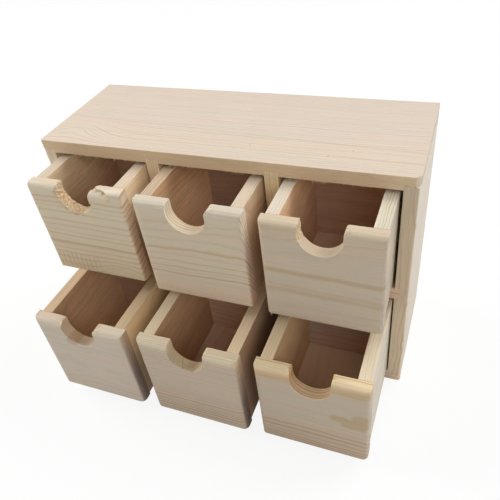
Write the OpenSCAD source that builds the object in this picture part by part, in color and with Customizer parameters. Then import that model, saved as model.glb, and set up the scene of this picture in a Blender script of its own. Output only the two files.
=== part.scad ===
// Desktop case of six small wooden drawers, two rows of three, in bare pine.
// Millimetres. The origin is the centre of the case's bottom face, +Z is up and the drawers open towards -Y.
// The case is boards set into grooves. Each drawer is a box behind a front board with a finger notch.

/* [Case] */
// Outer width of the case
case_w = 280; // [220:1:360]
// Depth of the case from front to back
case_d = 100; // [95:1:160]
// Thickness of the case's boards
board_t = 10; // [8:0.5:14]
// Height of each drawer's opening
opening_h = 83; // [60:1:120]
// How far the sides and dividers are let into the top board
top_groove_d = 3; // [1:0.5:6]
// How far the sides and dividers are let into the bottom board
bottom_groove_d = 5; // [1:0.5:6]
// How far the shelf is let into each side
shelf_groove_d = 3.5; // [1:0.5:6]
// Thickness of the back panel
back_panel_t = 3; // [2:0.5:6]
// Radius of the top board's front right corner, seen from above
top_right_r = 5; // [1:0.5:12]
// Radius of the top board's front left corner, seen from above
top_left_r = 1.5; // [0.5:0.5:5]
// Radius along the front outer edge of each side
side_edge_r = 2; // [0.5:0.5:4]

/* [Drawers] */
// Thickness of a drawer's front board
front_t = 9.5; // [7:0.5:14]
// Thickness of a drawer's side boards
side_t = 9; // [5:0.5:14]
// Thickness of a drawer's back board
box_back_t = 7; // [4:0.5:12]
// Thickness of a drawer's floor
floor_t = 4.5; // [3:0.5:8]
// How far the front board stands out past the box on the left
lip_left = 2.6; // [0:0.1:5]
// How far the front board stands out past the box on the right
lip_right = 1; // [0:0.1:5]
// Radius along the front board's top and end edges
front_edge_r = 4.5; // [1:0.5:6.5]

/* [Finger notch] */
// Width of the notch
notch_w = 28; // [16:1:36]
// Depth of the notch below the top edge
notch_h = 20.5; // [20.5:0.5:40]
// Radius where the notch meets the top edge
notch_lip_r = 2; // [0.5:0.5:2.5]

/* [Clearances] */
// Gap at each end of a front board that stands in the middle of its opening
end_gap = 0.7; // [0.5:0.1:2]
// Gap over a drawer, below the board above it
head_gap = 3.2; // [1:0.1:8]
// Gap under a drawer, above the board that it slides on
slide_gap = 0.3; // [0.1:0.1:0.6]
// Gap between a closed drawer and the back panel
back_gap = 0.5; // [0.2:0.1:3]

/* [Drawers at rest] */
// How much of each drawer's length is still in the case, top row and then bottom row, from the left
still_in = [58.5, 54, 52, 11.5, 12.5, 14.5]; // [9:0.5:86]
// How far each drawer lies to the right of the middle of its opening
shifted = [-0.4, -0.4, -0.4, 0.4, 0.4, 0.4]; // [-0.4:0.1:0.4]

/* [Hidden] */
columns = 3;
rows = 2;
drawer_count = columns * rows;

case_h = rows * opening_h + (rows + 1) * board_t;
opening_w = (case_w - (columns + 1) * board_t) / columns;
column_step = opening_w + board_t;
row_step = opening_h + board_t;
front_y = -case_d / 2;
panel_y = case_d / 2 - back_panel_t;
inner_d = panel_y - front_y;
shelf_z = row_step;
upright_z = board_t - bottom_groove_d;
upright_h = case_h - board_t + top_groove_d - upright_z;

front_w = opening_w - 2 * end_gap;
box_w = front_w - lip_left - lip_right;
drawer_h = opening_h - head_gap - slide_gap;
box_d = inner_d - front_t - back_gap;

// How far cuts run past the surface that they start from
past = 1;
$fn = 64;

pine = [0.87, 0.78, 0.64];
pale_pine = [0.91, 0.84, 0.72];
front_pine = [0.84, 0.75, 0.61];
warm_pine = [0.80, 0.68, 0.52];

case_nodes = ["top_board", "bottom_board", "left_side", "right_side", "shelf",
              "left_divider", "right_divider", "back_panel"];
drawer_pieces = ["front", "left_side", "right_side", "back", "floor"];

// What a round of radius r takes off a square corner at the origin, with the board towards +X and +Y
module corner_waste(r) {
    difference() {
        translate([-past, -past])
            square(r + past);
        translate([r, r])
            circle(r);
    }
}

// The middle of divider 1 or 2, and of opening 1, 2 or 3 of a row, from the left
function divider_x(i) = (i - columns / 2) * column_step;
function opening_x(i) = (i - (columns + 1) / 2) * column_step;

// A full-width board that takes the uprights' ends, with its grooved face at height 0 and the board above it.
// The sides lie in rebates from front to back. The dividers' grooves stop at the back panel.
module grooved_board(groove_d, left_r, right_r) {
    difference() {
        translate([-case_w / 2, front_y, 0])
            cube([case_w, case_d, board_t]);
        for (direction = [0, 1])
            mirror([direction, 0, 0])
                translate([case_w / 2 - board_t, front_y - past, -past])
                    cube([board_t + past, case_d + 2 * past, groove_d + past]);
        for (i = [1 : columns - 1])
            translate([divider_x(i) - board_t / 2, front_y - past, -past])
                cube([board_t, inner_d + past, groove_d + past]);
        translate([-case_w / 2, front_y, -past])
            linear_extrude(board_t + 2 * past)
                corner_waste(left_r);
        translate([case_w / 2, front_y, -past])
            linear_extrude(board_t + 2 * past)
                mirror([1, 0])
                    corner_waste(right_r);
    }
}

module top_board() {
    color(pale_pine)
        translate([0, 0, case_h - board_t])
            grooved_board(top_groove_d, top_left_r, top_right_r);
}

module bottom_board() {
    color(pine)
        translate([0, 0, board_t])
            mirror([0, 0, 1])
                grooved_board(bottom_groove_d, side_edge_r, side_edge_r);
}

// The side on the right. The shelf's end lies in a groove that shows at the front.
module side_board() {
    difference() {
        translate([case_w / 2 - board_t, front_y, upright_z])
            cube([board_t, case_d, upright_h]);
        translate([case_w / 2 - board_t - past, front_y - past, shelf_z])
            cube([shelf_groove_d + past, inner_d + past, board_t]);
        translate([case_w / 2, front_y, upright_z - past])
            linear_extrude(upright_h + 2 * past)
                mirror([1, 0])
                    corner_waste(side_edge_r);
    }
}

module left_side() {
    color(pine)
        mirror([1, 0, 0])
            side_board();
}

module right_side() {
    color(pale_pine)
        side_board();
}

// The shelf and the dividers are halved where they cross: the shelf is whole in front, and a divider behind.
module shelf() {
    shelf_w = case_w - 2 * board_t + 2 * shelf_groove_d;
    color(warm_pine)
        difference() {
            translate([-shelf_w / 2, front_y, shelf_z])
                cube([shelf_w, inner_d, board_t]);
            for (i = [1 : columns - 1])
                translate([divider_x(i) - board_t / 2, front_y + inner_d / 2, shelf_z - past])
                    cube([board_t, inner_d / 2 + past, board_t + 2 * past]);
        }
}

module divider(i) {
    color(pine)
        difference() {
            translate([divider_x(i) - board_t / 2, front_y, upright_z])
                cube([board_t, inner_d, upright_h]);
            translate([divider_x(i) - board_t / 2 - past, front_y - past, shelf_z])
                cube([board_t + 2 * past, inner_d / 2 + past, board_t]);
        }
}

module back_panel() {
    color(warm_pine)
        translate([-case_w / 2 + board_t, panel_y, board_t])
            cube([case_w - 2 * board_t, back_panel_t, case_h - 2 * board_t]);
}

// The outline of the finger notch, with the front's top edge at height 0
module notch_outline() {
    translate([0, notch_w / 2 - notch_h])
        circle(d = notch_w);
    translate([-notch_w / 2, notch_w / 2 - notch_h])
        square([notch_w, notch_h - notch_w / 2 + past]);
    for (direction = [0, 1])
        mirror([direction, 0])
            translate([notch_w / 2, 0])
                mirror([0, 1])
                    corner_waste(notch_lip_r);
}

// A drawer's own frame: X from the middle of the box, Y from the front board's back face, Z from the bottom
module drawer_front() {
    middle_x = (lip_right - lip_left) / 2;
    color(front_pine)
        translate([middle_x, 0, 0])
            difference() {
                translate([-front_w / 2, -front_t, 0])
                    cube([front_w, front_t, drawer_h]);
                for (direction = [0, 1])
                    mirror([direction, 0, 0])
                        translate([-front_w / 2, -front_t, -past])
                            linear_extrude(drawer_h + 2 * past)
                                corner_waste(front_edge_r);
                translate([-front_w / 2 - past, -front_t, drawer_h])
                    rotate([90, 0, 90])
                        linear_extrude(front_w + 2 * past)
                            mirror([0, 1])
                                corner_waste(front_edge_r);
                translate([0, past, drawer_h])
                    rotate([90, 0, 0])
                        linear_extrude(front_t + 2 * past)
                            notch_outline();
            }
}

module drawer_left_side() {
    color(pale_pine)
        translate([-box_w / 2, 0, 0])
            cube([side_t, box_d, drawer_h]);
}

module drawer_right_side() {
    color(pale_pine)
        translate([box_w / 2 - side_t, 0, 0])
            cube([side_t, box_d, drawer_h]);
}

module drawer_back() {
    color(pine)
        translate([-box_w / 2 + side_t, box_d - box_back_t, 0])
            cube([box_w - 2 * side_t, box_back_t, drawer_h]);
}

module drawer_floor() {
    color(warm_pine)
        translate([-box_w / 2 + side_t, 0, 0])
            cube([box_w - 2 * side_t, box_d - box_back_t, floor_t]);
}

// Drawers 1 to 3 are the top row from the left, and 4 to 6 the bottom row.
module place_drawer(n) {
    column = (n - 1) % columns + 1;
    row = n <= columns ? 1 : 0;
    x = opening_x(column) + shifted[n - 1] + (lip_left - lip_right) / 2;
    y = front_y + still_in[n - 1] - box_d;
    z = board_t + row * row_step + slide_gap;
    translate([x, y, z])
        children();
}

top_board();
bottom_board();
left_side();
right_side();
shelf();
divider(1);  // left_divider
divider(2);  // right_divider
back_panel();
for (n = [1 : drawer_count]) {
    place_drawer(n) drawer_front();
    place_drawer(n) drawer_left_side();
    place_drawer(n) drawer_right_side();
    place_drawer(n) drawer_back();
    place_drawer(n) drawer_floor();
}
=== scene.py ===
"""A desk case of six pine drawers: wood finishes, worn front boards, splinters, a plain studio and a camera.

Lengths are in millimetres until they reach Blender, which takes metres.
"""

import math
from typing import NamedTuple

import bpy
import numpy as np
from mathutils import Matrix, Vector, noise
from mathutils.geometry import delaunay_2d_cdt


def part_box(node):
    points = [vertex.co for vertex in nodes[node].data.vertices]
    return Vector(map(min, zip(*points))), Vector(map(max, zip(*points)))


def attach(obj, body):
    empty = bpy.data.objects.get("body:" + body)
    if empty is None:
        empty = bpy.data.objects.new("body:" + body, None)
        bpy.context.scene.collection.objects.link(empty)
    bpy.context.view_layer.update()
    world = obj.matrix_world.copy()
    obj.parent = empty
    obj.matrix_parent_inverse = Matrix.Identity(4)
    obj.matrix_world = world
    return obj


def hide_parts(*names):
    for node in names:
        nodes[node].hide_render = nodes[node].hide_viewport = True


MM = 0.001
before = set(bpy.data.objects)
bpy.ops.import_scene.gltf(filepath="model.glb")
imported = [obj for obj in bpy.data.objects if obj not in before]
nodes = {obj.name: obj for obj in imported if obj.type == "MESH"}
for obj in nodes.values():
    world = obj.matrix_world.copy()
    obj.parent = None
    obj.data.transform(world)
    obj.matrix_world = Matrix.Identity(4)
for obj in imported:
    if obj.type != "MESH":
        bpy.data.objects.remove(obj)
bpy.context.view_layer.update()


def add_object(name, data):
    added = bpy.data.objects.new(name, data)
    bpy.context.scene.collection.objects.link(added)
    return added


# Camera

CAMERA_PLACE = (158.5, -331.0, 378.9)
CAMERA_AZIMUTH = 25.85
CAMERA_ELEVATION = 39.91
CAMERA_ROLL = -8.16
CAMERA_LENS = 38.98


def make_camera():
    """The camera looks along +Y, turned left by the azimuth, down by the elevation and rolled."""
    azimuth, elevation, roll = (math.radians(v) for v in (CAMERA_AZIMUTH, CAMERA_ELEVATION, CAMERA_ROLL))
    forward = Vector((-math.sin(azimuth) * math.cos(elevation),
                      math.cos(azimuth) * math.cos(elevation),
                      -math.sin(elevation)))
    level = Vector((math.cos(azimuth), math.sin(azimuth), 0))
    above = level.cross(forward)
    right = math.cos(roll) * level + math.sin(roll) * above
    up = -math.sin(roll) * level + math.cos(roll) * above
    data = bpy.data.cameras.new("camera")
    data.lens = CAMERA_LENS
    data.clip_start = 0.01
    camera = add_object("camera", data)
    turn = Matrix((right, up, -forward)).transposed().to_4x4()
    camera.matrix_world = Matrix.Translation(Vector(CAMERA_PLACE) * MM) @ turn
    bpy.context.scene.camera = camera


# Shader nodes


class Nodes:
    """Short calls that add nodes to a shader tree. A value is a number, a tuple or another node's output."""

    def __init__(self, tree):
        self.tree = tree
        tree.nodes.clear()

    def put(self, socket, value):
        if isinstance(value, bpy.types.NodeSocket):
            self.tree.links.new(value, socket)
        else:
            socket.default_value = value

    def add(self, kind, values=None, out=0, **settings):
        node = self.tree.nodes.new("ShaderNode" + kind)
        for name, value in settings.items():
            setattr(node, name, value)
        for key, value in (values or {}).items():
            self.put(node.inputs[key], value)
        return node.outputs[out] if node.outputs else None

    def math(self, operation, *values, clamp=False):
        return self.add("Math", dict(enumerate(values)), operation=operation, use_clamp=clamp)

    def plus(self, a, b):
        return self.math("ADD", a, b)

    def minus(self, a, b):
        return self.math("SUBTRACT", a, b)

    def times(self, a, b):
        return self.math("MULTIPLY", a, b)

    def times_plus(self, a, b, c, clamp=False):
        return self.math("MULTIPLY_ADD", a, b, c, clamp=clamp)

    def vector(self, operation, *values, out=0):
        return self.add("VectorMath", dict(enumerate(values)), out=out, operation=operation)

    def scaled(self, vector, factor):
        node = self.vector("SCALE", vector).node
        self.put(node.inputs["Scale"], factor)
        return node.outputs[0]

    def noise(self, place, detail=2.0, roughness=0.5, **settings):
        """Perlin noise from 0 to 1 at a place, or along a line."""
        key = "W" if settings.get("noise_dimensions") == "1D" else "Vector"
        values = {key: place, "Scale": 1.0, "Detail": detail, "Roughness": roughness}
        return self.add("TexNoise", values, **settings)

    def ramp(self, value, low, high, to_low=0.0, to_high=1.0, shape="SMOOTHSTEP"):
        values = {0: value, 1: low, 2: high, 3: to_low, 4: to_high}
        return self.add("MapRange", values, interpolation_type=shape)

    def mix(self, factor, a, b, blend="MIX"):
        values = {0: factor, 6: a, 7: b}
        return self.add("Mix", values, out=2, data_type="RGBA", blend_type=blend)


def srgb(red, green, blue):
    """A colour as it looks on a screen, 0 to 255, as Blender's linear colour."""
    def linear(v):
        v /= 255
        return v / 12.92 if v <= 0.04045 else ((v + 0.055) / 1.055) ** 2.4
    return (linear(red), linear(green), linear(blue), 1.0)


def new_material(name):
    material = bpy.data.materials.new(name)
    material.use_nodes = True
    return material, Nodes(material.node_tree)


# Pine

EARLY = srgb(231, 214, 190)
LATE = srgb(184, 140, 94)
HEART = srgb(222, 190, 164)

PINE_INPUTS = {
    "Grain": "Vector",  # the place in mm: along the grain, and across it in two directions
    "Pith": "Vector",  # the tree's centre, across the grain
    "Shift": "Float",  # how far knots push the rings out, in mm
    "Seed": "Float",
    "Spacing": "Float",  # between growth rings, in mm
    "Slow spacing": "Float",  # the same, after the tree has slowed down
    "Slow from": "Float",  # the radius where it slows down, in mm
    "Wave": "Float",  # how far the rings wander, in mm
    "Lines": "Float",  # how dark the late wood is, 0 to 1
    "Fibres": "Float",  # how strongly light and dark fibres show
    "Early": "Color",
    "Late": "Color",
    "Heart": "Color",
    "Heart share": "Float",
}
PINE_OUTPUTS = {"Color": "Color", "Height": "Float", "Dark": "Float"}


def growth_rings(n, given, stretched):
    """How strong the late wood is, 0 to 1, in rings round the pith that the board's faces cut."""
    across = n.vector("SUBTRACT", given["Grain"], given["Pith"])
    radius = n.vector("LENGTH", n.vector("MULTIPLY", across, (0.0, 1.0, 1.0)), out=1)
    wander = n.times_plus(stretched(34, 14), 0.3, stretched(130, 45, 1.0))
    radius = n.times_plus(wander, given["Wave"], n.plus(radius, given["Shift"]))
    radius = n.times_plus(stretched(8, 7, 1.0), 0.35, radius)
    quick = n.math("MINIMUM", radius, given["Slow from"])
    quick_years = n.math("DIVIDE", quick, given["Spacing"])
    slow_years = n.math("DIVIDE", n.minus(radius, quick), given["Slow spacing"])
    years = n.plus(quick_years, slow_years)
    uneven = n.noise(n.times_plus(years, 0.31, given["Seed"]), 1.0, noise_dimensions="1D")
    years = n.times_plus(uneven, 1.5, years)
    season = n.math("FRACT", years)
    year = n.plus(n.math("FLOOR", years), given["Seed"])
    strength = n.add("TexWhiteNoise", {"W": year}, noise_dimensions="1D")
    strength = n.ramp(strength, 0.0, 1.0, 0.3, 1.0, "LINEAR")
    late = n.times(n.ramp(season, 0.42, 0.9), n.ramp(season, 0.92, 1.0, 1.0, 0.0))
    return n.times(n.math("POWER", late, 1.8), strength)


def pine_group():
    """A node group of pine: growth rings, with fibres and pores along the grain."""
    tree = bpy.data.node_groups.new("pine", "ShaderNodeTree")
    n = Nodes(tree)
    for sockets, way in ((PINE_INPUTS, "INPUT"), (PINE_OUTPUTS, "OUTPUT")):
        for name, kind in sockets.items():
            tree.interface.new_socket(name, in_out=way, socket_type="NodeSocket" + kind)
    given = tree.nodes.new("NodeGroupInput").outputs
    place = n.vector("ADD", given["Grain"], n.scaled((31.7, 17.3, 5.9), given["Seed"]))

    def stretched(along, across, detail=2.0, roughness=0.5):
        """Noise from about -1 to 1 with spots of these lengths in mm, along the grain and across it."""
        value = n.noise(n.vector("DIVIDE", place, (along, across, across)), detail, roughness)
        return n.times_plus(value, 2.0, -1.0)

    late = growth_rings(n, given, stretched)
    fibre = stretched(26, 1.3, 3.0, 0.62)
    fine = stretched(7, 0.5, 2.0, 0.6)
    flow = stretched(90, 9.0)
    pores = n.ramp(stretched(4, 0.35, 1.0), 0.2, 0.6)

    dark = n.times(late, given["Lines"])
    dark = n.times_plus(fibre, 0.16, dark)
    dark = n.times_plus(pores, 0.2, dark)
    dark = n.times_plus(fine, 0.1, dark, clamp=True)
    heart = n.times(given["Heart share"], n.ramp(flow, -0.3, 0.4))
    color = n.mix(heart, given["Early"], given["Heart"])
    color = n.mix(dark, color, given["Late"])
    light = n.times_plus(fibre, 0.11, n.times(fine, 0.07))
    light = n.times_plus(flow, 0.06, light)
    light = n.times_plus(light, given["Fibres"], 1.0)
    height = n.times_plus(fine, 0.35, n.times(fibre, 0.5))
    height = n.times_plus(late, 0.12, height)
    result = tree.nodes.new("NodeGroupOutput").inputs
    n.put(result["Color"], n.scaled(color, light))
    n.put(result["Height"], height)
    n.put(result["Dark"], dark)
    return tree


PINE = pine_group()

# Which of x, y and z lies along the grain, and then which lie across it
GRAIN_ORDER = {"X": "xzy", "Y": "yxz", "Z": "zxy"}
NEVER = 1000.0
RELIEF = 0.1  # how deep the fibres' bump is

# The heights from a board's middle between which a face's low tint gives way to its other one: painted light
# and shade that changes with height
TINT_RISE = (-10.0, 38.0)


# Parts of a board's finish. Places are from the board's middle.


class Face(NamedTuple):
    """A tint of what faces one way, such as -Y, and what it adds to the lines and the fibres."""
    way: str
    tint: tuple
    lines: float = 0.0
    fibres: float = 0.0
    # The low tint is painted light and shade by height
    painted_low_tint: tuple = None  # the tint lower down, if that is another


class Band(NamedTuple):
    """A tint between two places on an axis, and what it adds to the lines."""
    axis: str
    low: float
    high: float
    fade: float
    tint: tuple
    lines: float = 0.0


class Streak(NamedTuple):
    """A dark line along X, at a place on another axis."""
    axis: str
    place: float
    half: float  # half its width
    strength: float = 0.0
    on_wall: float = 0.0  # its strength on a notch's wall
    tilt: float = 0.0


class Patch(NamedTuple):
    """A tint in rounded boxes with ragged, soft edges."""
    tint: tuple
    ragged: float
    boxes: tuple  # the axes, the centre and half the size of each


class Ribs(NamedTuple):
    """A tint in stripes across the grain, between two places on X and below a height."""
    low: float
    high: float
    top: float
    spacing: float
    tint: tuple


class Knot(NamedTuple):
    """A place that pushes the rings out, less and less away from its middle."""
    axes: str
    centre: tuple
    size: tuple
    push: float


class Wood:
    """The nodes of one board's finish, while it is made."""

    def __init__(self, name, centre, lines, fibres):
        self.material, self.n = new_material(name)
        n = self.n
        self.place = n.vector("SUBTRACT", n.scaled(n.add("TexCoord", out=3), 1 / MM), tuple(centre))
        parts = n.add("SeparateXYZ", {0: self.place}).node.outputs
        self.x, self.y, self.z = parts["X"], parts["Y"], parts["Z"]
        self.wall = n.add("Attribute", out=2, attribute_name="wall")
        self.lines = lines
        self.fibres = fibres
        self.tints = []

    def tint(self, mask, tint, lines=0.0, fibres=0.0):
        """Keeps a tint for later, and adds to the lines and the fibres under its mask."""
        self.tints.append((mask, tint))
        if lines:
            self.lines = self.n.times_plus(mask, lines, self.lines)
        if fibres:
            self.fibres = self.n.times_plus(mask, fibres, self.fibres)

    def between(self, value, low, high, fade):
        n = self.n
        rise = n.ramp(value, low - fade, low + fade)
        return n.times(rise, n.ramp(value, high - fade, high + fade, 1.0, 0.0))

    def wander(self, size, scale, seed=0.0):
        """Noise of a size in mm, at a scale in mm."""
        n = self.n
        value = n.noise(n.vector("ADD", n.scaled(self.place, 1 / scale), (seed, 0, 0)))
        return n.times_plus(value, 2 * size, -size)

    def pushed(self, knot):
        """How far a knot pushes the rings out."""
        n = self.n
        total = 0.0
        for axis, middle, size in zip(knot.axes, knot.centre, knot.size):
            place = n.math("DIVIDE", n.minus(getattr(self, axis), middle), size)
            total = n.plus(n.times(place, place), total)
        return n.times(knot.push, n.math("EXPONENT", n.times(total, -1.0)))

    def facing(self, way):
        """A mask of what faces one way, apart from a notch's wall."""
        n = self.n
        sign = -1 if way[0] == "-" else 1
        normal = n.add("TexCoord", out=1)
        value = n.vector("DOT_PRODUCT", normal, tuple(sign * (way[-1] == axis) for axis in "XYZ"), out=1)
        return n.times(n.ramp(value, 0.5, 0.9), n.minus(1.0, self.wall))

    def in_patch(self, patch):
        n = self.n
        mask = 0.0
        for axes, centre, half in patch.boxes:
            total = 0.0
            for axis, middle, size, scale in zip(axes, centre, half, (4.0, 5.0)):
                place = n.minus(getattr(self, axis), middle)
                place = n.plus(place, self.wander(patch.ragged, scale, middle))
                place = n.math("ABSOLUTE", n.math("DIVIDE", place, size))
                total = n.plus(n.math("POWER", place, 3.0), total)
            mask = n.math("MAXIMUM", mask, n.ramp(total, 0.3, 1.7, 0.85, 0.0))
        return mask

    def in_ribs(self, ribs):
        n = self.n
        place = n.plus(self.x, self.wander(1.6, 11))
        stripes = n.math("SINE", n.times(place, 2 * math.pi / ribs.spacing))
        low_part = n.ramp(self.z, ribs.top - 3, ribs.top + 3, 1.0, 0.0)
        where = n.times(self.between(self.x, ribs.low, ribs.high, 8), low_part)
        return n.times(n.ramp(stripes, -0.3, 0.9), where)

    def streaked(self, color, late, streaks):
        n = self.n
        for axis, place, half, strength, on_wall, tilt in streaks:
            line = n.times_plus(self.x, -tilt, n.minus(getattr(self, axis), place))
            line = n.plus(line, self.wander(0.5 * half, 22, place))
            line = n.plus(line, self.wander(0.15 * half, 5, place))
            share = n.times_plus(self.wall, on_wall - strength, strength)
            mask = n.times(self.between(line, -half, half, 0.8 * half), share)
            color = n.mix(mask, color, late)
        return color

    def tinted(self, color):
        for mask, tint in self.tints:
            color = self.n.mix(mask, color, self.n.vector("MULTIPLY", color, tint))
        return color


def edge_mask(n):
    """A mask of the narrow bevels between a board's faces."""
    normal = n.vector("ABSOLUTE", n.add("TexCoord", out=1))
    parts = n.add("SeparateXYZ", {0: normal}).node.outputs
    largest = n.math("MAXIMUM", parts["X"], n.math("MAXIMUM", parts["Y"], parts["Z"]))
    return n.ramp(largest, 0.85, 0.97, 1.0, 0.0)


def pine(name, centre, grain="X", pith=(-60.0, 20.0), seed=0.0, spacing=3.4, slow=(NEVER, 1.0), wave=5.0,
         lines=0.5, fibres=1.0, early=EARLY, late=LATE, heart=HEART, heart_share=0.25,
         faces=(), bands=(), wall=None, patches=(), ribs=(), streaks=(), knots=(), edges=0.0, extra=None):
    """A pine finish for one board.

    pith: the tree's centre, from the board's centre, across the grain
    slow: the radius from which the rings are closer, and their spacing there
    wall: the tint of a notch's wall, and what it adds there to the lines
    edges: how much lighter the bevels are, a painted highlight of eased edges catching the light
    extra: a function that changes the colour, the height and the roughness at the end
    """
    wood = Wood(name, centre, lines, fibres)
    n = wood.n
    for face in faces:
        tint = face.tint
        # A painted change of light and shade with height
        if face.painted_low_tint:
            tint = n.mix(n.ramp(wood.z, *TINT_RISE), (*face.painted_low_tint, 1), (*tint, 1))
        wood.tint(wood.facing(face.way), tint, face.lines, face.fibres)
    for band in bands:
        place = n.plus(getattr(wood, band.axis), wood.wander(1.2, 30))
        wood.tint(wood.between(place, band.low, band.high, band.fade), band.tint, band.lines)
    if wall:
        wood.tint(wood.wall, *wall)
    for patch in patches:
        wood.tint(wood.in_patch(patch), patch.tint)
    for stripes in ribs:
        wood.tint(wood.in_ribs(stripes), stripes.tint)
    shift = 0.0
    for knot in knots:
        shift = n.plus(wood.pushed(knot), shift)

    order = [getattr(wood, axis) for axis in GRAIN_ORDER[grain]]
    values = {
        "Grain": n.add("CombineXYZ", dict(enumerate(order))), "Pith": (0.0, *pith), "Shift": shift,
        "Seed": seed, "Spacing": spacing, "Slow from": slow[0], "Slow spacing": slow[1], "Wave": wave,
        "Lines": wood.lines, "Fibres": wood.fibres,
        "Early": early, "Late": late, "Heart": heart, "Heart share": heart_share,
    }
    group = n.add("Group", node_tree=PINE).node
    for key, value in values.items():
        n.put(group.inputs[key], value)
    roughness = n.ramp(group.outputs["Dark"], 0.0, 1.0, 0.66, 0.5, "LINEAR")
    height = group.outputs["Height"]
    color = wood.tinted(wood.streaked(group.outputs["Color"], late, streaks))
    # Painted highlight on the bevels
    if edges:
        color = n.scaled(color, n.times_plus(edge_mask(n), edges, 1.0))
    if extra:
        color, height, roughness = extra(wood, color, height, roughness)
    relief = n.add("Bump", {"Strength": 1.0, "Distance": RELIEF * MM, "Height": height})
    values = {"Base Color": color, "Roughness": roughness, "Specular IOR Level": 0.3, "Normal": relief}
    n.add("OutputMaterial", {"Surface": n.add("BsdfPrincipled", values)})
    return wood.material


def node_box(name):
    """A CAD node's lowest corner, highest corner and centre, in mm."""
    low, high = (np.array(v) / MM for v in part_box(name))
    return low, high, (low + high) / 2


# CAD boards

CASE_EDGE = 0.25
DRAWER_EDGE = 0.45
# Painted highlight: the boards' bevels are made lighter, as where eased edges catch the light
BEVEL_PAINTED_HIGHLIGHT = 0.15

PALE = srgb(227, 213, 197)
PALE_HEART = srgb(224, 202, 182)
PALE_LATE = srgb(184, 146, 116)
CREAM = srgb(224, 208, 184)
YELLOW_CREAM = srgb(230, 208, 173)
WHITE_WOOD = srgb(243, 235, 219)
TAN = srgb(238, 217, 186)
BROWN = srgb(236, 211, 180)
SIDE_LATE = srgb(178, 134, 92)
INSIDE = srgb(218, 190, 165)
BOTTOMS = srgb(232, 204, 185)
PALE_BOTTOM = srgb(240, 214, 193)

# Tints of single faces
CUT_FRONT = (1.08, 0.97, 0.78)
SHADED_FRONT = (0.84, 0.75, 0.64)
# Painted light and shade on the drawers' outer side faces: paler where a face is lit, darker where it faces a
# gap between drawers
PAINTED_LIGHT_OUT = (1.05, 1.08, 1.12)
PAINTED_SHADE_OUT = (0.93, 0.82, 0.76)
PAINTED_DIM_SHADE_OUT = (0.9, 0.85, 0.85)

TOP_DOT_PLACES = (
    ("xy", (24.0, -30.1)), ("xy", (79.7, -34.9)), ("xy", (94.3, -26.0)),
    ("xz", (131.0, -1.6)), ("xz", (132.2, -1.6)), ("xz", (136.7, -1.7)),
)
DOT_HALF = (0.5, 0.5)
TOP_DOTS = Patch((0.6, 0.5, 0.44), 0.1, [(axes, centre, DOT_HALF) for axes, centre in TOP_DOT_PLACES])

CASE_LOOKS = {
    "top_board": dict(
        grain="X", pith=(-20, 100), seed=3, spacing=2.2, wave=3.0, lines=0.42, fibres=1.3,
        early=PALE, late=PALE_LATE, heart=PALE_HEART, heart_share=0.4,
        faces=[Face("-Y", CUT_FRONT, -0.38)],
        bands=[Band("y", -60, -16, 9, (1.02, 1.02, 0.99), 0.1),
               Band("y", 20, 60, 14, (0.98, 0.98, 0.98), -0.1)],
        patches=[TOP_DOTS],
        streaks=[Streak("y", -15.0, 0.6, 0.2, tilt=-0.05),
                 Streak("y", -31.0, 0.5, 0.15, tilt=-0.03)],
        knots=[Knot("xy", (-122, -24), (30, 16), 14.0)]),
    "bottom_board": dict(grain="X", pith=(-20, -50), seed=5, early=TAN),
    "left_side": dict(
        grain="Z", pith=(45, 60), seed=7, spacing=2.6, lines=0.3, early=CREAM,
        faces=[Face("-Y", (1.14, 1.13, 1.13), 0.1, 1.0)]),
    "right_side": dict(
        grain="Z", pith=(-58, 26), seed=9, spacing=2.0, lines=0.3, early=WHITE_WOOD,
        faces=[Face("-Y", SHADED_FRONT, 0.15, 1.0)]),
    "shelf": dict(grain="X", pith=(40, 30), seed=11, early=BROWN, heart_share=0.6),
    # The dividers' near-white pine is partly painted light, brightening their fronts where shade falls
    # between the drawers
    "left_divider": dict(
        grain="Z", pith=(60, 12), seed=13, spacing=1.9, lines=0.5, fibres=2.0, early=srgb(248, 224, 189)),
    "right_divider": dict(
        grain="Z", pith=(-60, 9), seed=15, spacing=2.1, lines=0.5, fibres=2.0, early=srgb(252, 232, 186)),
    "back_panel": dict(grain="X", pith=(10, 60), seed=17, wave=4.0, lines=0.36, early=BROWN),
}


class Side(NamedTuple):
    """What sets a drawer's side board apart."""
    pith: tuple
    lines: float
    top: tuple  # the tint of its top edge
    # outer and outer_low are painted light and shade: paler where the face is lit, darker in a gap between
    # drawers and darker still lower down
    outer: tuple  # the tint of its outer face
    outer_low: tuple = None  # the same lower down, if that is another


class Box(NamedTuple):
    """The looks of a drawer's boards behind its front."""
    wood: tuple  # the sides' colour
    floor: tuple
    back: tuple
    # inner and inner_low are partly the wood's browner tone inside and partly painted light and shade:
    # lighter near the top, changing lower down in the box
    inner: tuple  # the tint of the sides' inner faces
    inner_low: tuple  # the same lower down
    inner_lines: float
    left: Side
    right: Side
    # Painted shade: bands that darken part of a drawer's floor
    floor_shade_bands: tuple = ()


# The sides' inner and outer tints and their low tints are painted light and shade: paler where lit, darker in
# the gaps between drawers and deep in the boxes
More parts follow.
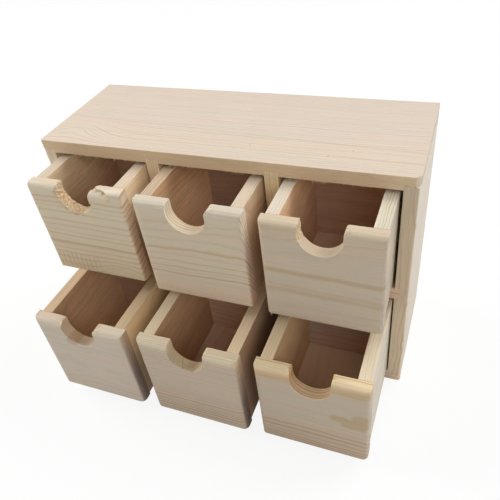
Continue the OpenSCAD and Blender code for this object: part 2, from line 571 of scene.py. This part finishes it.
BOXES = {
    1: Box(CREAM, BOTTOMS, INSIDE, (1.22, 1.12, 0.97), (0.98, 0.81, 0.69), 0.42,
           Side((64, 30), 0.3, (0.96, 0.98, 0.98), PAINTED_LIGHT_OUT),
           Side((-70, 18), 0.3, (1.0, 1.0, 1.0), (1.28, 1.25, 1.12), (0.72, 0.56, 0.46))),
    2: Box(CREAM, BOTTOMS, srgb(190, 168, 158), (0.95, 0.74, 0.57), (1.6, 1.42, 1.3), 0.55,
           Side((-80, 80), 0.95, (0.88, 0.83, 0.77), PAINTED_SHADE_OUT),
           Side((80, 40), 0.3, (1.0, 1.0, 1.0), (1.05, 0.95, 0.84), (0.9, 0.78, 0.68))),
    3: Box(CREAM, PALE_BOTTOM, srgb(212, 180, 160), (1.32, 1.1, 0.9), (1.08, 0.87, 0.77), 0.3,
           Side((-66, 10), 0.4, (1.06, 1.13, 1.2), PAINTED_SHADE_OUT),
           Side((57, 8), 0.7, (1.03, 1.15, 1.2), (0.94, 0.98, 1.02))),
    4: Box(YELLOW_CREAM, BOTTOMS, srgb(196, 168, 146), (0.88, 0.74, 0.68), (1.02, 0.91, 0.87), 0.35,
           Side((75, 44), 0.3, (1.04, 0.97, 0.92), (1.0, 1.1, 1.22)),
           Side((-60, 30), 0.25, (0.9, 0.87, 0.8), (1.3, 1.28, 1.14), (0.8, 0.75, 0.73))),
    5: Box(YELLOW_CREAM, PALE_BOTTOM, srgb(240, 212, 186), (1.0, 0.84, 0.76), (0.86, 0.69, 0.64), 0.35,
           Side((66, 80), 0.3, (1.06, 1.12, 1.14), PAINTED_DIM_SHADE_OUT),
           Side((-90, 50), 0.2, (1.15, 1.15, 1.15), (0.72, 0.64, 0.64), (0.66, 0.57, 0.6))),
    6: Box(YELLOW_CREAM, srgb(250, 236, 216), srgb(219, 197, 187), (1.24, 1.14, 1.03), (1.0, 0.88, 0.8), 0.3,
           Side((-70, 74), 0.4, (1.08, 1.08, 1.08), PAINTED_DIM_SHADE_OUT),
           Side((62, 6), 0.4, (1.05, 1.13, 1.22), (1.08, 1.24, 1.54)),
           # Painted shade: the floor is darker on its left
           floor_shade_bands=(Band("x", -40, -8, 12, (0.92, 0.83, 0.76)),)),
}


def ease_edges(board, size):
    """Takes the sharpness off a CAD board's edges."""
    weld = board.modifiers.new("weld", "WELD")
    weld.merge_threshold = 0.001 * MM
    flat = board.modifiers.new("flat", "DECIMATE")
    flat.decimate_type = "DISSOLVE"
    flat.angle_limit = math.radians(1)
    bevel = board.modifiers.new("edges", "BEVEL")
    bevel.width = size * MM
    bevel.segments = 2
    bevel.limit_method = "ANGLE"
    bevel.angle_limit = math.radians(40)


def finish_board(name, edge, **look):
    board = nodes[name]
    _, _, centre = node_box(name)
    board.data.materials.clear()
    board.data.materials.append(pine(name, centre, edges=BEVEL_PAINTED_HIGHLIGHT, **look))
    ease_edges(board, edge)


def finish_side(name, box, side, seed, inward, outward):
    """Finishes a drawer's side board, whose inner and outer faces point these ways."""
    # The inner and outer faces' tints are painted light and shade, as set in the boxes
    faces = [Face(inward, box.inner, box.inner_lines - side.lines, 2.2, box.inner_low),
             Face(outward, side.outer, 0.25 - side.lines, 1.0, side.outer_low or side.outer),
             Face("Z", side.top, fibres=0.5)]
    finish_board(name, DRAWER_EDGE, grain="Y", pith=side.pith, seed=seed, spacing=1.8, lines=side.lines,
                 early=box.wood, late=SIDE_LATE, faces=faces)


def finish_drawer(number, box):
    key = f"drawer_{number}_"
    seed = 20.0 + 7 * number
    finish_side(key + "left_side", box, box.left, seed - 1, "X", "-X")
    finish_side(key + "right_side", box, box.right, seed + 1, "-X", "X")
    finish_board(key + "back", DRAWER_EDGE, grain="X", pith=(20, 45), seed=seed + 2, lines=0.3, fibres=2.2,
                 early=box.back)
    finish_board(key + "floor", DRAWER_EDGE, grain="Y", pith=(10, 50), seed=seed + 3, lines=0.15, fibres=1.2,
                 early=box.floor, heart_share=0.1, bands=box.floor_shade_bands)


# Drawer fronts

NOTCH_HALF = 14.0
NOTCH_H = 20.5
EDGE_R = 4.5
RIM = 0.35  # how far the notch's rim and the back edges are eased
WALL_LAYERS = 12
RIM_RINGS = (0.14, RIM, 0.9, 1.6, 2.3)  # rows of points round the notch, by their distance from it
RING_TORN = (1.0, 1.0, 0.8, 0.55, 0.2)  # how much of the broken fibres each row has
OFF_RIM = 9.0  # a distance from the notch at which its rim has no effect
GRID_STEP = 2.6
NOTCH_STEP = 0.6
DIP_STEP = 0.7
CLOSEST = 0.02  # points of the outline that are nearer than this become one
TORN_FADE = 0.04  # how gradually torn stretches begin, as a share of the notch
LEAN_FROM = 10.2  # how far below the top edge the notch's leaning wall begins
SHARP_ANGLE = 32


class Dip(NamedTuple):
    """A low stretch of the top edge. Its end and its depth are given at even steps from front to back."""
    low: float
    highs: tuple
    depths: tuple


class Shape(NamedTuple):
    """What sets a front's shape apart, in mm. The notch runs from 0 at its right lip to 1 at its left."""
    lips: tuple  # the radii on the left and on the right
    ends: tuple  # the same for the board's ends
    torn: tuple = ()  # stretches of the notch with broken fibres: from, to, and how deep
    dips: tuple = ()
    wave: tuple = (0.0, 0.0, 1.0)  # how uneven the top edge is, then from x and to x
    blunt: tuple = ()  # stretches of the top edge with another radius: from x, to x, radius
    lean: float = 0.0  # how far the notch's right wall leans in at its top


SHAPES = {
    1: Shape(lips=(0.5, 1.9), ends=(1.6, 2.2), torn=((0.45, 0.97, 1.1),), wave=(0.35, 18.5, 30.0),
             dips=(Dip(8.0, (30.0, 25.0, 18.0, 15.8, 18.6), (2.7, 2.4, 1.8, 2.8, 4.4)),),
             blunt=((27.0, 35.0, 3.2),), lean=1.8),
    2: Shape(lips=(0.5, 3.8), ends=(4.5, 2.6), torn=((0.93, 0.99, 0.2),)),
    3: Shape(lips=(0.5, 2.0), ends=(3.5, 2.6), torn=((0.74, 0.98, 0.4), (0.05, 0.18, 0.25))),
    4: Shape(lips=(1.0, 3.6), ends=(4.5, 4.5), torn=((0.9, 0.98, 0.25),), wave=(0.4, -38.0, -13.0),
             dips=(Dip(-19.0, (-12.0, -12.0), (0.5, 0.5)),)),
    5: Shape(lips=(0.5, 1.5), ends=(4.5, 4.5), torn=((0.02, 0.12, 0.25),)),
    6: Shape(lips=(1.5, 0.5), ends=(3.5, 4.0)),
}


def smooth_step(value, low, high):
    t = np.clip((value - low) / (high - low), 0, 1)
    return t * t * (3 - 2 * t)


def between(value, low, high, fade):
    return smooth_step(value, low - fade, low + fade) * (1 - smooth_step(value, high - fade, high + fade))


def roundover(distance, radius):
    """How far a rounded edge lies behind the face, at a distance in from the edge."""
    inside = np.clip(radius - distance, 0, radius)
    return radius - np.sqrt(radius ** 2 - inside ** 2)


def lumps(x, y, z, scale, seed):
    """Noise from about -1 to 1 at points in mm."""
    places = (Vector((a / scale + seed, b / scale, c / scale)) for a, b, c in zip(x, y, z))
    return np.array([noise.noise(place) for place in places])


def arc(centre_x, centre_z, radius, first, last, step):
    """Points on an arc from one angle to another, in degrees."""
    count = max(3, math.ceil(abs(math.radians(last - first)) * radius / step))
    angles = np.radians(np.linspace(first, last, count + 1))
    return [(centre_x + radius * math.cos(a), centre_z + radius * math.sin(a)) for a in angles]


def edge_rows(radius):
    """Distances in from an edge that follow its rounding evenly."""
    return [radius * (1 - math.cos(math.radians(a))) for a in (15, 30, 45, 60, 75, 90)]


def along_steps(back, values):
    """The value at a depth between those given at even steps from the front, 0, to the back, 1."""
    return np.interp(back, np.linspace(0, 1, len(values)), values)


def unit(vectors):
    return vectors / np.linalg.norm(vectors, axis=1, keepdims=True)


def inward_ways(outline):
    """The way into the board at each point of its outline."""
    ahead = unit(np.roll(outline, -1, axis=0) - outline)
    behind = unit(outline - np.roll(outline, 1, axis=0))
    tangent = unit(ahead + behind)
    return np.stack((-tangent[:, 1], tangent[:, 0]), axis=1)


def triangles(points, count):
    """Triangles over flat points, the first of which, up to count, are their closed outline."""
    vectors = [Vector(map(float, point)) for point in points]
    result = delaunay_2d_cdt(vectors, [], [list(range(count))], 1, 1e-4)
    origins = [found[0] if found else None for found in result[3]]
    faces = []
    for face in result[2]:
        corners = [origins[i] for i in face]
        if None not in corners:
            faces.append(tuple(corners))
    return faces


class Front:
    """A drawer's front board, in its own frame: x from its middle, z from its bottom, and y from its back.

    Depths in the board are also given as back, from 0 at the front to 1 at the back.
    """

    def __init__(self, number):
        self.number = number
        self.shape = SHAPES[number]
        low, high, self.centre = node_box(f"drawer_{number}_front")
        self.place = np.array((self.centre[0], high[1], low[2]))
        self.half = (high[0] - low[0]) / 2
        self.thick = high[1] - low[1]
        self.high = high[2] - low[2]
        self.turn_z = self.high - NOTCH_H + NOTCH_HALF  # where the notch's walls turn round its bottom

    def dip(self, x, back):
        """How low the top edge is."""
        total = np.zeros_like(x)
        for low, highs, depths in self.shape.dips:
            fade = 1.2 - 0.9 * back
            total += along_steps(back, depths) * between(x, low, along_steps(back, highs), fade)
        size, low, high = self.shape.wave
        wave = lumps(x, 3.0 * back, 0 * x, 2.3, self.number * 9.1)
        return total + size * (0.6 + wave) * between(x, low, high, 1.0)

    def crease(self, x, back):
        """A mask of where a dip ends on the right."""
        mask = np.zeros_like(x)
        for dip in self.shape.dips:
            place = (x - along_steps(back, dip.highs) + 0.5) / (1.6 - 0.8 * back)
            mask = np.maximum(mask, np.exp(-place ** 2) * (1 - 0.7 * back))
        return mask

    def rounding_back(self, z):
        """How far back the rounded top edge is at a height: 0 where the flat front begins."""
        return roundover(self.high - z, EDGE_R) / self.thick

    def near_top(self, z):
        """How much of a dip reaches a height: all of it near the top edge."""
        return np.clip((z - self.high + 12) / 8, 0, 1)

    def lowered(self, x, z):
        """Heights near the top follow the top edge down where it dips."""
        return z - self.dip(x, self.rounding_back(z)) * self.near_top(z)

    def below_edge(self, x, z):
        """How far a point of the front is below the top edge."""
        gap = self.high - z
        for _ in range(3):
            gap = self.high - z - self.dip(x, self.rounding_back(self.high - gap))
        return gap

    def top_radius(self, x):
        radius = np.full_like(x, EDGE_R)
        for low, high, other in self.shape.blunt:
            radius += (other - EDGE_R) * between(x, low, high, 3.0)
        return radius

    def torn_depth(self, along):
        """How deep the broken fibres go at places along the notch."""
        size = np.zeros_like(along)
        for low, high, depth in self.shape.torn:
            size += depth * between(along, low, high, TORN_FADE)
        return np.where(along < 0, 0, size)

    def columns(self):
        """The grid's places in x, closer at the rounded ends and where a dip ends."""
        half = self.half
        left, right = ([d for d in edge_rows(radius) if d < EDGE_R - 0.1] for radius in self.shape.ends)
        count = round((2 * half - 2 * EDGE_R) / GRID_STEP) + 1
        xs = {-half, half, *np.linspace(-half + EDGE_R, half - EDGE_R, count)}
        xs.update(-half + d for d in left)
        xs.update(half - d for d in right)
        for dip in self.shape.dips:
            xs.update(np.arange(min(dip.highs) - 0.5, max(dip.highs) + 2, DIP_STEP))
        return sorted(xs)

    def rows(self):
        """The grid's places in z, closer at the rounded top."""
        start = self.high - EDGE_R
        rising = np.linspace(RIM, start, round(start / GRID_STEP) + 1)
        return sorted({0.0, 0.1, *rising, *(self.high - d for d in edge_rows(EDGE_R)[:-1]), self.high})

    def notch(self):
        """The notch's points, from its right lip to its left lip."""
        high, turn_z = self.high, self.turn_z
        left_lip, right_lip = self.shape.lips
        points = arc(NOTCH_HALF + right_lip, high - right_lip, right_lip, 90, 180, NOTCH_STEP)
        points += [(NOTCH_HALF, z) for z in np.arange(high - right_lip - NOTCH_STEP, turn_z, -NOTCH_STEP)]
        points += arc(0, turn_z, NOTCH_HALF, 0, -180, NOTCH_STEP)
        points += [(-NOTCH_HALF, z) for z in np.arange(turn_z + NOTCH_STEP, high - left_lip, NOTCH_STEP)]
        points += arc(-NOTCH_HALF - left_lip, high - left_lip, left_lip, 0, 90, NOTCH_STEP)
        leaning = [self.shape.lean * float(between(z, high - LEAN_FROM, high + 9, 1.2)) for _, z in points]
        return [(x - lean * (x > 0), z) for (x, z), lean in zip(points, leaning)]

    def outline(self):
        """The outline, anticlockwise from in front, and each point's place along the notch, or -1."""
        half, high = self.half, self.high
        left_lip, right_lip = self.shape.lips
        right_x = NOTCH_HALF + right_lip
        left_x = -NOTCH_HALF - left_lip
        before = [(x, 0.0) for x in self.xs]
        before += [(half, z) for z in self.zs[1:]]
        before += [(x, high) for x in reversed(self.xs) if right_x + 0.3 < x < half - 0.01]
        notch = self.notch()
        after = [(x, high) for x in reversed(self.xs) if -half + 0.01 < x < left_x - 0.5]
        after += [(-half, z) for z in reversed(self.zs[1:])]
        points = np.array(before + notch + after)
        along = np.full(len(points), -1.0)
        along[len(before):len(before) + len(notch)] = np.linspace(0, 1, len(notch))
        keep = np.linalg.norm(points - np.roll(points, 1, axis=0), axis=1) > CLOSEST
        return points[keep], along[keep]

    def lay_out(self):
        """Works out the grid and the outline that the board's sections follow."""
        self.xs = self.columns()
        self.zs = self.rows()
        self.edge, along = self.outline()
        self.edge_back = self.rounding_back(self.edge[:, 1])
        self.edge[:, 1] = self.lowered(self.edge[:, 0], self.edge[:, 1])
        self.inward = inward_ways(self.edge)
        self.torn = self.torn_depth(along)
        self.on_notch = along >= 0

    def section(self, y):
        """The outline at depths y, with its broken fibres."""
        x, z = self.edge[:, 0], self.edge[:, 1]
        rough = 1.2 * lumps(x, y * 0.8, z, 1.9, self.number) + 0.6 * lumps(x, y, z, 0.9, self.number + 40)
        moved = self.edge + self.inward * (self.torn * (rough + 0.45))[:, None]
        back = np.maximum(self.edge_back, 1 + y / self.thick)
        moved[:, 1] -= (self.dip(x, back) - self.dip(x, self.edge_back)) * self.near_top(z)
        return moved

    def grid(self):
        """The points of the front face that keep clear of the notch."""
        points = np.array([(x, z) for x in self.xs[1:-1] for z in self.zs[1:-1]])
        points[:, 1] = self.lowered(points[:, 0], points[:, 1])
        gaps = np.linalg.norm(points[:, None] - self.edge[None, self.on_notch], axis=2).min(axis=1)
        deepest = max([depth for _, _, depth in self.shape.torn], default=0)
        below_turn = np.minimum(points[:, 1] - self.turn_z, 0)
        in_notch = np.hypot(points[:, 0], below_turn) < NOTCH_HALF
        in_notch &= points[:, 1] > self.turn_z - NOTCH_HALF
        return points[(gaps > RIM_RINGS[-1] + 0.4 + deepest) & ~in_notch]

    def drop(self, x, z, rim):
        """How far the front face lies behind its flat middle. The rim is the distance from the notch."""
        top = roundover(self.below_edge(x, z), self.top_radius(x))
        left = roundover(x + self.half, self.shape.ends[0])
        right = roundover(self.half - x, self.shape.ends[1])
        low = roundover(z, RIM)
        total = (top ** 6 + left ** 6 + right ** 6 + low ** 6) ** (1 / 6)
        uneven = 0.05 * lumps(x, 0 * x, z, 14.0, self.number)
        total = total + roundover(rim, RIM) * np.clip(1 - total / 2, 0, 1)
        return np.clip(total + 0.05 + uneven, 0, self.thick - 1)

    def face(self):
        """The front face's points, the edge's first, and how torn they are."""
        edge = self.section(np.full(len(self.edge), -self.thick))
        rings = [(edge + self.inward * offset)[self.on_notch] for offset in RIM_RINGS]
        grid = self.grid()
        x, z = np.vstack([edge, *rings, grid]).T
        ring_torn = [self.torn[self.on_notch] * share for share in RING_TORN]
        ring_rims = [np.full(len(ring), offset) for ring, offset in zip(rings, RIM_RINGS)]
        torn = np.concatenate([self.torn, *ring_torn, np.zeros(len(grid))])
        edge_rim = np.where(self.on_notch, 0.0, OFF_RIM)
        rim = np.concatenate([edge_rim, *ring_rims, np.full(len(grid), OFF_RIM)])
        y = -self.thick + self.drop(x, z, rim)
        chips = 0.35 + lumps(x, 0 * x, z, 1.5, self.number + 80)
        y += torn * np.clip(chips, 0, 1)
        return np.column_stack((x, y, z)), torn

    def layers(self, edge_y):
        """The board's outline from behind the front face to its back."""
        result = []
        for layer in range(1, WALL_LAYERS + 1):
            y = edge_y + (-RIM - edge_y) * (layer / WALL_LAYERS)
            ring = self.section(y)
            result.append(np.column_stack((ring[:, 0], y, ring[:, 1])))
        ring = ring + self.inward * RIM
        result.append(np.column_stack((ring[:, 0], np.zeros(len(ring)), ring[:, 1])))
        return result

    def marks(self, points, face_count, torn):
        """What the finish reads at each point."""
        count = len(self.edge)
        below = np.clip(self.high - points[:, 2], 0, None)
        back = np.clip(1 + points[:, 1] / self.thick, 0, 1)
        crease = self.crease(points[:, 0], back) * np.clip(2.2 - below / 4, 0, 1)
        wall = np.zeros(len(points))
        wall[face_count:] = np.tile(self.on_notch, (len(points) - face_count) // count)
        # rim marks the notch's edge, which the finish lightens as a painted highlight
        rim = np.zeros(len(points))
        rim[:count] = self.on_notch
        rim[count:count + np.count_nonzero(self.on_notch)] = 1
        return {"torn": torn, "wall": wall, "rim": rim, "crease": crease}

    def build(self):
        """The board's points, faces and marks."""
        self.lay_out()
        count = len(self.edge)
        face, torn = self.face()
        layers = self.layers(face[:count, 1])
        faces = triangles(face[:, ::2], count)
        starts = [0, *(len(face) + count * i for i in range(len(layers)))]
        for front, back in zip(starts, starts[1:]):
            for i in range(count):
                other = (i + 1) % count
                faces.append((front + i, back + i, back + other, front + other))
        back_face = triangles(layers[-1][:, ::2], count)
        faces += [tuple(starts[-1] + i for i in reversed(corners)) for corners in back_face]
        points = np.vstack([face, *layers])
        torn = np.concatenate([torn, np.tile(self.torn, len(layers))])
        return points, faces, self.marks(points, len(face), torn)


def new_mesh_object(name, points, faces):
    """A mesh object from points in mm."""
    mesh = bpy.data.meshes.new(name)
    mesh.from_pydata([tuple(p) for p in np.asarray(points) * MM], [], faces)
    mesh.validate()
    mesh.shade_smooth()
    mesh.set_sharp_from_angle(angle=math.radians(SHARP_ANGLE))
    return add_object(name, mesh)


def end_faces(right, right_low, right_lines=0.35):
    """A front's end grain, with painted light and shade: the right end has one tint at the top and another
    lower down, and the left end is darker, partly end grain and partly painted shade of the gap beside it.
    """
    return [Face("X", right, right_lines, 1.5, right_low), Face("-X", (0.86, 0.72, 0.6), 0.2, 1.5)]


TOP = 45.0  # a little past a front's top edge, from its middle
BOTTOM = -TOP
FILLER_BOXES = (
    ("xz", (20.0, 4.0), (7.0, 3.6)),
    ("xz", (26.0, 0.6), (6.0, 5.0)),
    ("xz", (33.5, 4.0), (6.0, 8.6)),
)
# Each front's end faces carry painted light and shade, see end_faces
FRONT_LOOKS = {
    1: dict(
        pith=(-90, 24), spacing=5.2, wave=3.0, lines=0.5, early=srgb(237, 221, 190), late=srgb(190, 160, 114),
        faces=end_faces((0.92, 0.88, 0.92), (0.87, 0.75, 0.73), 0.5),
        bands=[Band("z", 36, TOP, 3, (0.98, 1.0, 1.08), -0.2),
               Band("z", 10, TOP, 9, (1.02, 1.03, 1.05)),
               Band("z", BOTTOM, -27, 4, (0.98, 0.97, 0.93), -0.1)],
        wall=((0.96, 0.84, 0.69), 0.0),
        ribs=[Ribs(-42.0, 0.0, -23.0, 4.1, (0.91, 0.84, 0.79))],
        knots=[Knot("xz", (19, -37), (15, 9), -11.0)]),
    2: dict(
        pith=(45, 100), spacing=2.2, slow=(124, 0.9), wave=2.5, lines=0.55,
        early=srgb(232, 217, 191), late=srgb(194, 158, 102),
        faces=end_faces((1.15, 1.22, 1.36), (0.87, 0.77, 0.78), 0.8),
        bands=[Band("z", BOTTOM, -26, 3, (1.07, 1.02, 1.03), 0.2),
               Band("z", 37, TOP, 3, (0.93, 0.97, 1.05), -0.1)],
        wall=((1.04, 1.08, 1.1), 0.6)),
    3: dict(
        pith=(0, 120), spacing=2.0, wave=3.0, lines=0.16, early=srgb(220, 204, 181), late=srgb(186, 156, 108),
        faces=end_faces((1.1, 1.1, 1.15), (0.94, 0.96, 1.05), 0.5),
        bands=[Band("z", 30, TOP, 7, (1.0, 0.99, 0.94), 0.15)],
        wall=((1.0, 0.98, 0.94), 0.1),
        streaks=[Streak("z", 2.0, 1.9, 0.45, tilt=-0.02),
                 Streak("z", -15.0, 1.8, 0.3, tilt=-0.03),
                 Streak("z", -11.0, 1.2, 0.2, tilt=-0.035)]),
    4: dict(
        pith=(-10, 90), spacing=2.0, wave=5.0, lines=0.25, early=srgb(229, 216, 197),
        faces=end_faces((0.72, 0.62, 0.56), (0.35, 0.32, 0.33)),
        bands=[Band("z", 34, TOP, 4, (1.06, 1.06, 1.02))],
        wall=((0.9, 0.8, 0.72), 0.1),
        patches=[Patch((0.84, 0.74, 0.64), 0.9, [("xz", (-9.5, 21.5), (5.0, 4.0))])]),
    5: dict(
        pith=(-75, 16), spacing=2.4, wave=3.0, lines=0.36, early=srgb(221, 203, 181), late=srgb(152, 122, 86),
        faces=end_faces((1.06, 0.98, 0.88), (0.4, 0.36, 0.39)),
        bands=[Band("z", 34, TOP, 4, (1.12, 1.17, 1.1), -0.36),
               Band("z", BOTTOM, -13, 8, (1.0, 0.98, 0.95), 0.6)],
        wall=((1.03, 1.03, 0.9), 0.0),
        patches=[Patch((0.86, 0.79, 0.72), 0.5, [("xz", (1.5, 20.2), (4.0, 1.2))])],
        streaks=[Streak("y", 2.4, 0.25, 0.3),
                 Streak("y", 0.9, 0.3, 0.2),
                 Streak("y", -0.6, 0.25, 0.35, tilt=0.01),
                 Streak("y", -2.2, 0.25, 0.3),
                 Streak("z", 35.4, 0.3, 0.3, tilt=-0.01),
                 Streak("z", 33.2, 0.3, 0.3, tilt=-0.01)]),
    6: dict(
        pith=(34, 80), spacing=2.6, wave=3.0, lines=0.16, early=srgb(214, 199, 176), late=srgb(170, 130, 84),
        faces=end_faces((1.07, 1.13, 1.25), (1.07, 1.13, 1.25), 0.1),
        bands=[Band("z", 31.5, TOP, 3.5, (1.06, 0.92, 0.7)),
               Band("z", 37.4, TOP, 2.0, (1.18, 1.3, 1.44)),
               Band("z", BOTTOM, -14, 4, (1.0, 0.95, 0.91), 0.6)],
        wall=((1.05, 0.93, 0.77), 0.2),
        patches=[Patch((0.88, 0.8, 0.63), 1.3, FILLER_BOXES)],
        streaks=[Streak("y", 3.0, 0.3, 0.75, on_wall=0.6),
                 Streak("y", 1.2, 0.35, on_wall=0.8),
                 Streak("y", -1.4, 0.3, 0.12, on_wall=0.6),
                 Streak("y", -3.3, 0.3, on_wall=0.7),
                 Streak("z", 32.6, 0.25, 0.35, tilt=-0.015)]),
}


def front_details(wood, color, height, roughness):
    """Broken fibres are paler, rougher and speckled, the notch's rim is paler as a painted highlight of its
    eased edge, and a crease is browner.
    """
    n = wood.n
    torn, crease, rim = (n.add("Attribute", out=2, attribute_name=name)
                         for name in ("torn", "crease", "rim"))
    torn = n.ramp(torn, 0.1, 0.6)
    speckle = n.noise(n.scaled(wood.place, 1 / 1.3), 2.0, 0.55)
    crumbs = n.mix(n.ramp(speckle, 0.32, 0.6), srgb(190, 152, 110), srgb(242, 221, 188))
    color = n.mix(n.times(crease, 0.55), color, n.vector("MULTIPLY", color, (0.78, 0.64, 0.42)))
    # Painted highlight: the notch's eased rim is made 10% lighter
    color = n.scaled(color, n.times_plus(rim, 0.1, 1.0))
    color = n.mix(n.times(torn, 0.75), color, crumbs)
    height = n.plus(height, n.times(torn, n.times(speckle, 4.0)))
    roughness = n.times_plus(torn, 0.25, roughness, clamp=True)
    return color, height, roughness


def make_front(number, look):
    front = Front(number)
    points, faces, marks = front.build()
    piece = new_mesh_object(f"drawer_{number}_front_board", points + front.place, faces)
    for name, values in marks.items():
        attribute = piece.data.attributes.new(name, "FLOAT", "POINT")
        attribute.data.foreach_set("value", values.astype(np.float32))
    finish = pine(f"front_{number}", front.centre, seed=60.0 + number, extra=front_details, **look)
    piece.data.materials.append(finish)
    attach(piece, f"drawer_{number}")
    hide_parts(f"drawer_{number}_front")


# Splinters

OPENING_TOP = 186.0
CASE_FRONT = -50.0
OPENINGS = (-90, 0, 90)  # the middles of the openings in the top row
OPENING_REACH = 38
CASE_SEED = 101

# How far along a splinter each row of its corners is, as a share of its length, and the row's radius
SPLINTER_ROWS = ((-0.15, 0.3), (0.45, 0.24), (0.8, 0.14))
FLATNESS = 0.6
BEND = 0.35


class Roots(NamedTuple):
    """Splinters with their roots along a line, in the body's place at rest, in mm."""
    first: tuple
    last: tuple
    count: int
    way: tuple
    loose: float  # how far their ways differ
    sizes: tuple  # the shortest and the longest


# Single splinters on the fronts: the root, in the front's own frame, the way and the length
FRONT_SPLINTERS = {
    1: (((18.0, -1.0, 77.5), (-0.5, 0, 1), 0.9),
        ((-14.2, -5.0, 73.0), (0.8, -0.3, 0.8), 1.2),
        ((-11.5, -8.9, 64.0), (0.5, -0.8, 0.4), 1.1),
        ((-5, -9.2, 59.5), (0.4, -0.8, 0.5), 1.0)),
    3: (((-36.0, -9.3, 0.6), (0.1, -0.3, -1), 2.2),
        ((-14.0, -8.6, 74.5), (0.7, -0.6, 0.4), 0.9)),
    4: (((-38.2, -0.8, 79.3), (-0.2, 0.1, 1), 3.0),
        ((-36.8, -1.2, 79.3), (0.7, 0, 1), 1.6),
        ((-14.0, -6.0, 77.0), (0.9, -0.3, 0.6), 1.2)),
}


def opening_roots(middle):
    """Roots along the top edge of an opening."""
    first = (middle - OPENING_REACH, CASE_FRONT, OPENING_TOP)
    last = (middle + OPENING_REACH, CASE_FRONT, OPENING_TOP)
    return Roots(first, last, 18, (0.3, -0.2, -0.6), 0.7, (0.6, 1.7))


def front_roots(number):
    place = Front(number).place
    return [Roots(place + root, place + root, 1, way, 0.1, (size, size))
            for root, way, size in FRONT_SPLINTERS[number]]


def splinter_points(chance, root, way, loose, sizes):
    """Rows of three corners that bend and taper, and a point at the end."""
    way = np.array(way, float) + chance.uniform(-loose, loose, 3)
    way /= np.linalg.norm(way)
    bend = np.cross(way, chance.uniform(-1, 1, 3)) * BEND
    size = chance.uniform(*sizes)
    across = np.cross(way, (0.3, 1.0, 0.2))
    across /= np.linalg.norm(across)
    other = np.cross(way, across)
    points = []
    for step, radius in SPLINTER_ROWS:
        middle = root + size * (way * step + bend * max(step, 0) ** 2)
        for turn in (0, 120, 240):
            angle = math.radians(turn)
            side = math.cos(angle) * across + FLATNESS * math.sin(angle) * other
            points.append(middle + radius * side)
    points.append(root + size * (way + bend))
    return points


def splinter_faces(start):
    """The faces over a splinter's points, of which the first has the number start."""
    sides = ((0, 1), (1, 2), (2, 0))
    faces = []
    for row in (start, start + 3):
        faces += [(row + a, row + b, row + b + 3, row + a + 3) for a, b in sides]
    faces += [(start + 6 + a, start + 6 + b, start + 9) for a, b in sides]
    faces.append((start + 2, start + 1, start))
    return faces


def make_splinters(body, lines, seed):
    name = f"{body}_splinters"
    chance = np.random.default_rng(seed)
    points, faces = [], []
    for first, last, count, way, loose, sizes in lines:
        for share in chance.random(count):
            root = np.array(first) + (np.array(last) - np.array(first)) * share
            faces += splinter_faces(len(points))
            points += splinter_points(chance, root, way, loose, sizes)
    piece = new_mesh_object(name, points, faces)
    piece.data.materials.append(pine(name, (0, 0, 0), seed=seed, early=CREAM, lines=0.1))
    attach(piece, body)


def make_all_splinters():
    make_splinters("case", [opening_roots(middle) for middle in OPENINGS], CASE_SEED)
    for step, number in enumerate(FRONT_SPLINTERS, 1):
        make_splinters(f"drawer_{number}", front_roots(number), CASE_SEED + step)


# Studio


# Each lamp: its direction from the object, clockwise from straight behind as seen from above, then its height
# in degrees, its size in metres and its power in watts
LAMPS = {
    "behind_right": (45, 45, 1.2, 25),
    "left": (270, 35, 1.2, 29.5),
    "front_right": (140, 35, 1.2, 9.3),
}
LAMP_DISTANCE = 2.0
LAMP_TARGET = Vector((0, -0.04, 0.1))
WORLD_LIGHT = 0.13


def make_lamp(name, azimuth, height, size, power):
    data = bpy.data.lights.new(name, "AREA")
    data.size = size
    data.energy = power
    lamp = add_object(name, data)
    azimuth, height = math.radians(azimuth), math.radians(height)
    direction = Vector((math.sin(azimuth) * math.cos(height),
                        math.cos(azimuth) * math.cos(height),
                        math.sin(height)))
    turn = direction.to_track_quat("Z", "Y").to_matrix().to_4x4()
    lamp.matrix_world = Matrix.Translation(LAMP_TARGET + LAMP_DISTANCE * direction) @ turn


def make_floor():
    mesh = bpy.data.meshes.new("floor")
    half = 4.0
    corners = [(x, y, -0.3 * MM) for x, y in ((-half, -half), (half, -half), (half, half), (-half, half))]
    mesh.from_pydata(corners, [], [(0, 1, 2, 3)])
    floor = add_object("floor", mesh)
    material, n = new_material("floor")
    seen = n.add("LightPath").node.outputs["Is Camera Ray"]
    pale = n.add("BsdfDiffuse", {"Color": (0.8, 0.8, 0.8, 1)})
    white = n.add("Emission", {"Color": (1, 1, 1, 1), "Strength": 1.04})
    surface = n.add("MixShader", {0: n.times(seen, 0.85), 1: pale, 2: white})
    n.add("OutputMaterial", {"Surface": surface})
    mesh.materials.append(material)


def make_world():
    world = bpy.data.worlds.new("studio")
    bpy.context.scene.world = world
    world.use_nodes = True
    n = Nodes(world.node_tree)
    seen = n.add("LightPath").node.outputs["Is Camera Ray"]
    strength = n.plus(n.times(seen, 1 - WORLD_LIGHT), WORLD_LIGHT)
    light = n.add("Background", {"Color": (1, 1, 1, 1), "Strength": strength})
    n.add("OutputWorld", {"Surface": light})


def make_studio():
    make_floor()
    make_world()
    for name, values in LAMPS.items():
        make_lamp(name, *values)
    bpy.context.scene.view_settings.view_transform = "Standard"


make_camera()
make_studio()
for name, look in CASE_LOOKS.items():
    finish_board(name, CASE_EDGE, **look)
for number, box in BOXES.items():
    finish_drawer(number, box)
for number, look in FRONT_LOOKS.items():
    make_front(number, look)
make_all_splinters()
